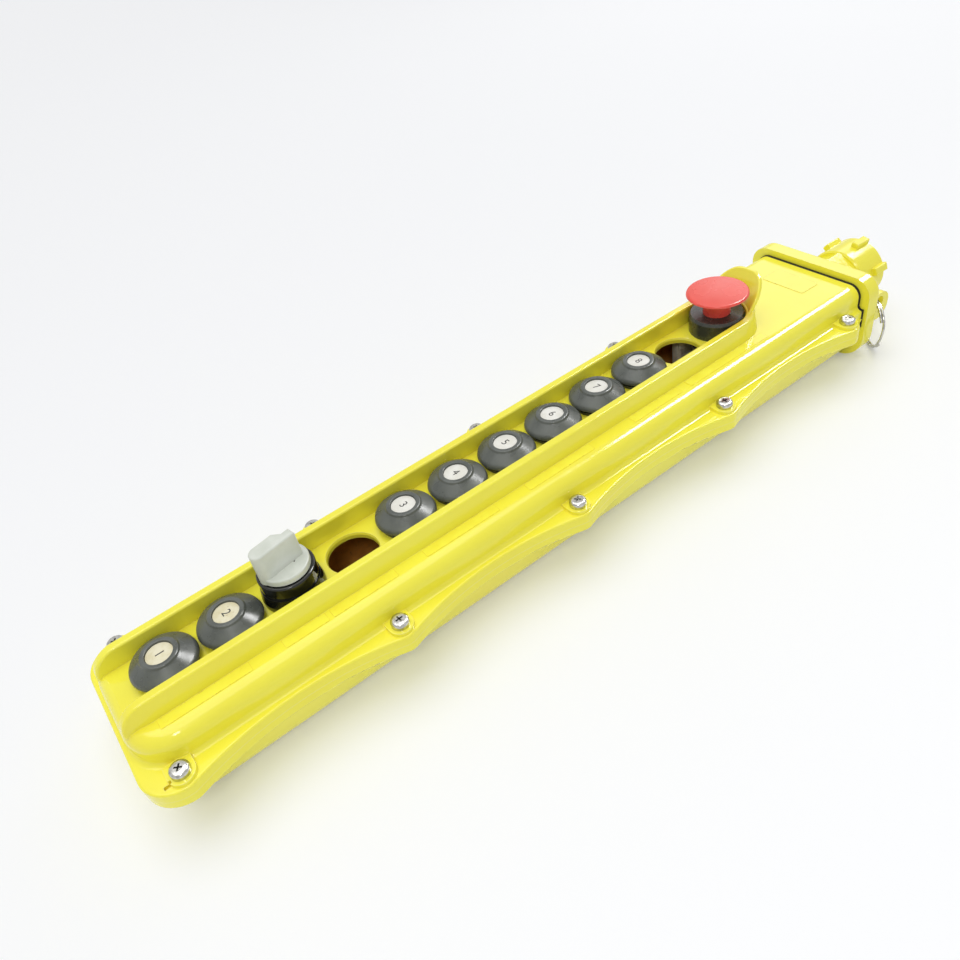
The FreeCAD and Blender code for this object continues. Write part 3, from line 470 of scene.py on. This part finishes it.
def modelScrew(shankLength):  # head's seat at z 0, axis on the origin
    screw = coverScrew
    rise = screw["riseMm"] * mm
    bpy.ops.object.select_all(action="DESELECT")
    bpy.ops.mesh.primitive_cylinder_add(vertices=screw["sides"], radius=screw["headMm"] * mm, depth=rise,
                                        location=(0, 0, rise / 2))
    piece = bpy.context.object
    settle(piece)
    bpy.ops.object.mode_set(mode="EDIT")
    bpy.ops.mesh.select_mode(type="FACE")
    selectFacing(piece, (0, 0, 1))
    bpy.ops.mesh.region_to_loop()
    bpy.ops.mesh.bevel(offset=screw["crownMm"] * mm, segments=7, profile=0.5, affect="EDGES")
    selectFacing(piece, (0, 0, -1))
    bpy.ops.mesh.inset(thickness=(screw["headMm"] - screw["shankMm"]) * mm)
    bpy.ops.mesh.extrude_region_move(TRANSFORM_OT_translate={"value": (0, 0, -shankLength)})
    bpy.ops.object.mode_set(mode="OBJECT")
    for turn in (0, math.pi / 2):  # the two bars of the cross
        bpy.ops.object.select_all(action="DESELECT")
        bpy.ops.mesh.primitive_cube_add(size=1, location=(0, 0, rise))
        cutter = bpy.context.object
        cutter.scale = (screw["recessMm"] * mm, screw["recessWideMm"] * mm, 2 * screw["recessDeepMm"] * mm)
        cutter.rotation_euler = (0, 0, turn)
        settle(cutter)
        bpy.ops.object.mode_set(mode="EDIT")
        bpy.ops.mesh.select_mode(type="FACE")
        selectFacing(cutter, (0, 0, -1))
        bpy.ops.transform.resize(value=(screw["recessTaper"], screw["recessTaper"], 1))
        bpy.ops.object.mode_set(mode="OBJECT")
        cutWith(piece, cutter)
        bpy.data.objects.remove(cutter)
    selectOnly(piece)
    bpy.ops.object.shade_smooth_by_angle(angle=math.radians(32))
    return piece


def screwSeats():  # axes of the CAD screws, read from the ends of their shanks
    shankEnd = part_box("cover_screws")[0].z + 0.1 * mm
    reach = 3 * coverScrew["shankMm"] * mm
    rims = []
    for vertex in nodes["cover_screws"].data.vertices:
        if vertex.co.z > shankEnd:
            continue
        near = [rim for rim in rims if (rim[0] - vertex.co).length < reach]
        if near:
            near[0].append(vertex.co)
        else:
            rims.append([vertex.co])
    return [sum(rim, Vector()) / len(rim) for rim in rims]


def addCoverScrews():
    low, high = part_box("cover_screws")
    seat = high.z - coverScrew["riseMm"] * mm
    pattern = modelScrew(seat - low.z)
    seats = screwSeats()
    for order, axis in enumerate(seats, 1):
        screw = copyPiece(pattern)
        screw.location = (axis.x, axis.y, seat)
        turn = coverScrew["firstTurnDegrees"] + coverScrew["nextTurnDegrees"] * order
        screw.rotation_euler = (0, 0, math.radians(turn))  # each was tightened where it stopped
        settle(screw)
        fitPiece(screw, f"cover_screw_{order}", "zincPlate", "housing")
        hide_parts("cover_screws")
    bpy.data.objects.remove(pattern)
    print("cover screws:", len(seats))


addCoverScrews()


# buttons: a cap with a collar round a sunk label disc; each corner is (radius, height from the top, rounding)

buttonCap = {"sides": 72, "cornersMm": ((6.0, -1.7, 0), (6.0, 0.0, 0.3), (8.1, 0.0, 0.62), (8.5, -1.0, 0.42),
                                        (14.65, -4.9, 1.6), (14.65, -6.7, 0.4), (13.4, -6.7, 0),
                                        (13.4, -5.4, 0), (11.6, -3.7, 0))}
labelDisc = {"sides": 64, "cornersMm": ((5.85, -1.7, 0), (5.85, -0.95, 0.15)), "agedStations": (1, 2)}


def selectRing(piece, radius, height):  # in edit mode, only the edges of one turned corner
    bpy.ops.mesh.select_all(action="DESELECT")
    bpy.ops.object.mode_set(mode="OBJECT")
    near = 0.02 * mm
    onRing = [abs(vertex.co.z - height) < near and abs(vertex.co.xy.length - radius) < near
              for vertex in piece.data.vertices]
    for edge in piece.data.edges:
        edge.select = all(onRing[i] for i in edge.vertices)
    bpy.ops.object.mode_set(mode="EDIT")


def turnPiece(sort):  # rings drawn out of a circle one after the other, then the corners rounded
    corners = [(radius * mm, height * mm, rounding * mm) for radius, height, rounding in sort["cornersMm"]]
    bpy.ops.object.select_all(action="DESELECT")
    radius, height, rounding = corners[0]
    bpy.ops.mesh.primitive_circle_add(vertices=sort["sides"], radius=radius, location=(0, 0, height))
    piece = bpy.context.object
    settle(piece)
    bpy.ops.object.mode_set(mode="EDIT")
    bpy.ops.mesh.select_mode(type="EDGE")
    bpy.ops.mesh.select_all(action="SELECT")
    for nextRadius, nextHeight, rounding in corners[1:]:
        bpy.ops.mesh.extrude_region_move(TRANSFORM_OT_translate={"value": (0, 0, nextHeight - height)})
        bpy.ops.transform.resize(value=(nextRadius / radius, nextRadius / radius, 1))
        radius, height = nextRadius, nextHeight
    bpy.ops.mesh.select_all(action="SELECT")
    bpy.ops.mesh.fill_holes(sides=0)
    bpy.ops.mesh.normals_make_consistent(inside=False)
    for radius, height, rounding in corners:
        if rounding:
            selectRing(piece, radius, height)
            bpy.ops.mesh.bevel(offset=rounding, segments=5, profile=0.5, affect="EDGES")
    bpy.ops.object.mode_set(mode="OBJECT")
    bpy.ops.object.shade_smooth_by_angle(angle=math.radians(35))
    return piece


def addTurned(pattern, name, place, finish, body, node):
    piece = copyPiece(pattern)
    piece.location = place
    settle(piece)
    fitPiece(piece, name, finish, body)
    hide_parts(node)
    return piece


buttonStations = sorted(int(name.split("_")[1]) for name in nodes if name.endswith("_label"))
capPattern = turnPiece(buttonCap)
discPattern = turnPiece(labelDisc)
for station in buttonStations:
    node = f"button_{station}_cap"
    centre = middle(node)
    crown = (centre.x, centre.y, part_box(node)[1].z)
    addTurned(capPattern, f"button_{station}_collared_cap", crown, "charcoalNylon", f"button_{station}",
              node)
    stock = "agedLaminate" if station in labelDisc["agedStations"] else "whiteLaminate"
    addTurned(discPattern, f"button_{station}_disc", crown, stock, f"button_{station}",
              f"button_{station}_label")
bpy.data.objects.remove(capPattern)
bpy.data.objects.remove(discPattern)
print("buttons:", len(buttonStations))


# return springs: a coil under each cap

returnSpring = {"radiusMm": 6.2, "wireMm": 0.35, "turns": 5, "stepsPerTurn": 24, "sides": 8, "travelMm": 3.0}


def modelSpring(rise):  # lower end of the wire's centre line at z 0, axis on the origin
    spring = returnSpring
    stepCount = spring["turns"] * spring["stepsPerTurn"]
    bpy.ops.object.select_all(action="DESELECT")
    bpy.ops.mesh.primitive_circle_add(vertices=spring["sides"], radius=spring["wireMm"] * mm,
                                      rotation=(math.pi / 2, 0, 0), location=(spring["radiusMm"] * mm, 0, 0))
    coil = bpy.context.object
    settle(coil)
    bpy.ops.object.mode_set(mode="EDIT")
    bpy.ops.mesh.select_all(action="SELECT")
    for step in range(stepCount):
        spinWire(1, 360 / spring["stepsPerTurn"])
        bpy.ops.transform.translate(value=(0, 0, rise / stepCount))
    bpy.ops.mesh.select_all(action="SELECT")
    bpy.ops.mesh.fill_holes(sides=0)  # the two cut ends
    bpy.ops.mesh.normals_make_consistent(inside=False)
    bpy.ops.object.mode_set(mode="OBJECT")
    bpy.ops.object.shade_smooth_by_angle(angle=math.radians(50))
    return coil


def addSprings():
    wire = returnSpring["wireMm"] * mm
    low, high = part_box(f"button_{buttonStations[0]}_spring")
    pattern = modelSpring(high.z - low.z - 2 * wire)
    for station in buttonStations:
        centre = middle(f"button_{station}_cap")
        coil = addTurned(pattern, f"button_{station}_coil", (centre.x, centre.y, low.z + wire), "springWire",
                         "housing", f"button_{station}_spring")
        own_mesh(coil)
    bpy.data.objects.remove(pattern)


addSprings()
print("return springs:", len(buttonStations))


# film strips on the near shelf, by their ends from the first station, and the bare plate on the head

filmStrips = {"spansMm": ((-13, 27), (42, 63), (65, 98), (113, 154), (172, 213), (240, 274), (280, 340)),
              "cornerMm": 0.7, "edgeMm": 0.25, "thickMm": 0.14}
barePlate = {"lowMm": (170.4, -14.2), "highMm": (184.9, 14.2), "cornerMm": 1.6, "edgeMm": 0.4, "thickMm": 0.2}


def addFilm(name, low, high, top, sort):
    bpy.ops.object.select_all(action="DESELECT")
    bpy.ops.mesh.primitive_plane_add(size=1, location=((low[0] + high[0]) / 2, (low[1] + high[1]) / 2, top))
    film = bpy.context.object
    film.scale = (high[0] - low[0], high[1] - low[1], 1)
    settle(film)
    bpy.ops.object.mode_set(mode="EDIT")
    bpy.ops.mesh.select_mode(type="VERT")
    bpy.ops.mesh.select_all(action="SELECT")
    bpy.ops.mesh.bevel(offset=sort["cornerMm"] * mm, segments=5, affect="VERTICES")
    bpy.ops.mesh.select_mode(type="FACE")
    bpy.ops.mesh.select_all(action="SELECT")
    bpy.ops.mesh.inset(thickness=sort["edgeMm"] * mm)
    bpy.ops.object.mode_set(mode="OBJECT")
    fitPiece(film, name, "clearFilm", "housing")
    film.data.materials.append(finishes["filmEdge"])
    for face in film.data.polygons:
        face.material_index = 0 if face.select else 1  # the inset face stays selected
    wall = film.modifiers.new("thickness", "SOLIDIFY")
    wall.thickness = sort["thickMm"] * mm
    wall.offset = -1
    selectOnly(film)
    bpy.ops.object.modifier_apply(modifier=wall.name)
    return film


def addFilms():
    low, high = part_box("label_strips")
    firstStation = middle("button_1_label").x
    for order, (start, stop) in enumerate(filmStrips["spansMm"], 1):
        film = addFilm(f"label_film_{order}", (firstStation + start * mm, low.y),
                       (firstStation + stop * mm, high.y), high.z, filmStrips)
        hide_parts("label_strips")
    corners = [(x * mm, y * mm) for x, y in (barePlate["lowMm"], barePlate["highMm"])]
    addFilm("bare_plate", corners[0], corners[1], low.z + barePlate["thickMm"] * mm, barePlate)


addFilms()
print("films on the shelf:", len(filmStrips["spansMm"]))


# numbers on the label discs

numberPrint = {"heightMm": 4.0, "thickMm": 0.06, "sinkMm": 0.02,
               "figureShare": 0.7}  # a figure's height in the font's size


def addNumber(order, station):
    cap = f"button_{station}_cap"
    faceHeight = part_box(cap)[1].z + labelDisc["cornersMm"][1][1] * mm
    bpy.ops.object.select_all(action="DESELECT")
    bpy.ops.object.text_add()
    text = bpy.context.object
    text.data.body = str(order)
    text.data.size = numberPrint["heightMm"] * mm / numberPrint["figureShare"]
    text.data.align_x = "CENTER"
    text.data.align_y = "CENTER"
    text.data.extrude = numberPrint["thickMm"] * mm / 2
    bpy.ops.object.convert(target="MESH")
    piece = bpy.context.object
    piece.rotation_euler = (0, 0, -math.pi / 2)  # reads upright when the pendant hangs by its gland
    centre = middle(cap)
    lift = (numberPrint["thickMm"] / 2 - numberPrint["sinkMm"]) * mm
    piece.location = (centre.x, centre.y, faceHeight + lift)
    settle(piece)
    fitPiece(piece, f"button_{station}_number", "printedInk", f"button_{station}")


for order, station in enumerate(buttonStations, 1):
    addNumber(order, station)
print("numbers on", len(buttonStations), "labels")


# pointer mark printed on top of the selector's disc

pointerMark = {"placeMm": (-151.7, -3.0, 65.4), "radiusMm": 1.15, "lineMm": 0.28, "thickMm": 0.05,
               "sinkMm": 0.02, "turnDegrees": 54}


def addPointerMark():
    mark = pointerMark
    bpy.ops.object.select_all(action="DESELECT")
    bpy.ops.mesh.primitive_circle_add(vertices=3, radius=mark["radiusMm"] * mm, fill_type="NGON")
    piece = bpy.context.object
    bpy.ops.object.mode_set(mode="EDIT")
    bpy.ops.mesh.select_mode(type="FACE")
    bpy.ops.mesh.select_all(action="SELECT")
    bpy.ops.mesh.inset(thickness=mark["lineMm"] * mm)
    bpy.ops.mesh.delete(type="FACE")  # only the outline is printed
    bpy.ops.mesh.select_all(action="SELECT")
    bpy.ops.mesh.extrude_region_move(TRANSFORM_OT_translate={"value": (0, 0, mark["thickMm"] * mm)})
    bpy.ops.mesh.select_all(action="SELECT")
    bpy.ops.mesh.normals_make_consistent(inside=False)
    bpy.ops.object.mode_set(mode="OBJECT")
    along, across, height = mark["placeMm"]
    piece.rotation_euler = (0, 0, math.radians(mark["turnDegrees"]))
    piece.location = (along * mm, across * mm, (height - mark["sinkMm"]) * mm)
    settle(piece)
    fitPiece(piece, "selector_pointer", "printedInk", "selector")


addPointerMark()
print("pointer marked")


# pale plate on the side of the emergency stop's contact block, seen through the open station

sideBlock = {"lowMm": (97.5, 13.0, 12.0), "highMm": (122.0, 17.2, 40.6), "edgeMm": 0.6, "rimMm": 4.5,
             "wellMm": 2.0, "wellDeepMm": 1.2}


def addSideBlock():
    low = Vector(sideBlock["lowMm"]) * mm
    high = Vector(sideBlock["highMm"]) * mm
    bpy.ops.object.select_all(action="DESELECT")
    bpy.ops.mesh.primitive_cube_add(size=1, location=(low + high) / 2)
    block = bpy.context.object
    block.scale = high - low
    settle(block)
    bpy.ops.object.mode_set(mode="EDIT")
    bpy.ops.mesh.select_mode(type="FACE")
    bpy.ops.mesh.select_all(action="SELECT")
    bpy.ops.mesh.bevel(offset=sideBlock["edgeMm"] * mm, segments=3, affect="EDGES")
    selectFacing(block, (0, -1, 0))
    bpy.ops.mesh.inset(thickness=sideBlock["rimMm"] * mm)
    bpy.ops.mesh.inset(thickness=sideBlock["wellMm"] * mm)
    bpy.ops.mesh.extrude_region_move(TRANSFORM_OT_translate={"value": (0, sideBlock["wellDeepMm"] * mm, 0)})
    bpy.ops.object.mode_set(mode="OBJECT")
    bpy.ops.object.shade_smooth_by_angle(angle=math.radians(35))
    fitPiece(block, "estop_side_block", "creamPhenolic", "housing")


addSideBlock()
print("side plate in place")


# floor, light and camera

studio = {"floor": "#FBFCFE", "floorMetres": 8, "floorRough": 0.6, "floorShine": 0.2, "paleShare": 0.25,
          "paleStrength": 0.95, "world": 0.43, "mirrored": 0.80, "sunStrength": 1.38, "sunSpread": 60,
          "sunFrom": (-0.04, 0.14, 1.0)}
# soft boxes: the strip is only mirrored, and draws the white lines on the shoulder; the fill reaches into the
# open stations; the window stands beyond the gland end
panels = {
    "strip": {"watts": 19.0, "wide": 0.42, "long": 0.60, "place": (0.94, 0.0, 1.04), "shades": False},
    "fill": {"watts": 1.1, "wide": 0.15, "long": 0.15, "place": (-0.40, -0.50, 0.75), "shades": True},
    "window": {"watts": 1.2, "wide": 0.60, "long": 0.40, "place": (1.17, 0.63, 0.70), "shades": True},
}

bpy.ops.object.select_all(action="DESELECT")
bpy.ops.mesh.primitive_plane_add(size=studio["floorMetres"], location=(0, 0, 0))
floor = bpy.context.object
floor.name = "floor"
# smooth painted board, with a share of its own paleness where the camera or a mirror sees it
floorMaterial, floorTree, floorShader = newMaterial("paleFloor")
floorShader.inputs["Base Color"].default_value = hexColour(studio["floor"])
floorShader.inputs["Roughness"].default_value = studio["floorRough"]
floorShader.inputs["Specular IOR Level"].default_value = studio["floorShine"]
floorRay = addNode(floorTree, "ShaderNodeLightPath")
floorSeen = addNode(floorTree, "ShaderNodeMath",
                    {0: floorRay.outputs["Is Camera Ray"], 1: floorRay.outputs["Is Glossy Ray"]},
                    operation="MAXIMUM")
floorShown = addNode(floorTree, "ShaderNodeMath",
                     {0: floorSeen.outputs["Value"], 1: floorRay.outputs["Is Transmission Ray"]},
                     operation="MAXIMUM")
paleShare = addNode(floorTree, "ShaderNodeMapRange",
                    {"Value": floorShown.outputs["Value"], "To Min": 0.0, "To Max": studio["paleShare"]})
paleness = addNode(floorTree, "ShaderNodeEmission",
                   {"Color": hexColour(studio["floor"]), "Strength": studio["paleStrength"]})
floorBlend = addNode(floorTree, "ShaderNodeMixShader",
                     {"Fac": paleShare.outputs["Result"], 1: floorShader.outputs["BSDF"],
                      2: paleness.outputs["Emission"]})
floorTree.links.new(floorBlend.outputs["Shader"], floorTree.nodes["Material Output"].inputs["Surface"])
setMaterial(floor, floorMaterial)

world = bpy.data.worlds.new("studio")
bpy.context.scene.world = world
world.use_nodes = True
room = world.node_tree  # white to the camera, a little less to a mirror, and a soft light for the rest
ray = addNode(room, "ShaderNodeLightPath")
seen = addNode(room, "ShaderNodeMath",
               {0: ray.outputs["Is Camera Ray"], 1: ray.outputs["Is Transmission Ray"]}, operation="MAXIMUM")
mirrored = addNode(room, "ShaderNodeMapRange",
                   {"Value": ray.outputs["Is Glossy Ray"], "To Min": studio["world"],
                    "To Max": studio["mirrored"]})
level = addNode(room, "ShaderNodeMath", {0: seen.outputs["Value"], 1: mirrored.outputs["Result"]},
                operation="MAXIMUM")
backdrop = room.nodes["Background"]
backdrop.inputs["Color"].default_value = (1, 1, 1, 1)
room.links.new(level.outputs["Value"], backdrop.inputs["Strength"])


def aimLight(light, place):  # towards the origin
    light.rotation_euler = (-Vector(place)).to_track_quat("-Z", "Y").to_euler()


bpy.ops.object.light_add(type="SUN", location=studio["sunFrom"])
sun = bpy.context.object
sun.name = "softSun"
sun.data.energy = studio["sunStrength"]
sun.data.angle = math.radians(studio["sunSpread"])
aimLight(sun, studio["sunFrom"])

for name, panel in panels.items():
    bpy.ops.object.light_add(type="AREA", location=panel["place"])
    light = bpy.context.object
    light.name = name
    light.data.shape = "RECTANGLE"
    light.data.size = panel["wide"]
    light.data.size_y = panel["long"]
    light.data.energy = panel["watts"]
    light.visible_diffuse = panel["shades"]
    aimLight(light, panel["place"])

viewpoint = {"place": (-0.19892, -0.26258, 0.30627), "azimuth": 61.031, "drop": 41.129, "roll": 11.934,
             "lens": 30.636, "sensor": 36, "nearest": 0.01}


def addCamera():
    bpy.ops.object.camera_add()
    camera = bpy.context.object
    azimuth, drop, roll = (math.radians(viewpoint[key]) for key in ("azimuth", "drop", "roll"))
    ahead = Vector((math.cos(drop) * math.cos(azimuth), math.cos(drop) * math.sin(azimuth), -math.sin(drop)))
    levelRight = Vector((math.sin(azimuth), -math.cos(azimuth), 0))
    levelUp = levelRight.cross(ahead)
    right = levelRight * math.cos(roll) - levelUp * math.sin(roll)
    up = levelUp * math.cos(roll) + levelRight * math.sin(roll)
    turn = Matrix((right, up, -ahead)).transposed().to_4x4()
    camera.matrix_world = Matrix.Translation(viewpoint["place"]) @ turn
    camera.data.sensor_width = viewpoint["sensor"]
    camera.data.lens = viewpoint["lens"]
    camera.data.clip_start = viewpoint["nearest"]
    bpy.context.scene.camera = camera


addCamera()
bpy.context.scene.view_settings.view_transform = "Standard"
print("camera and light set")
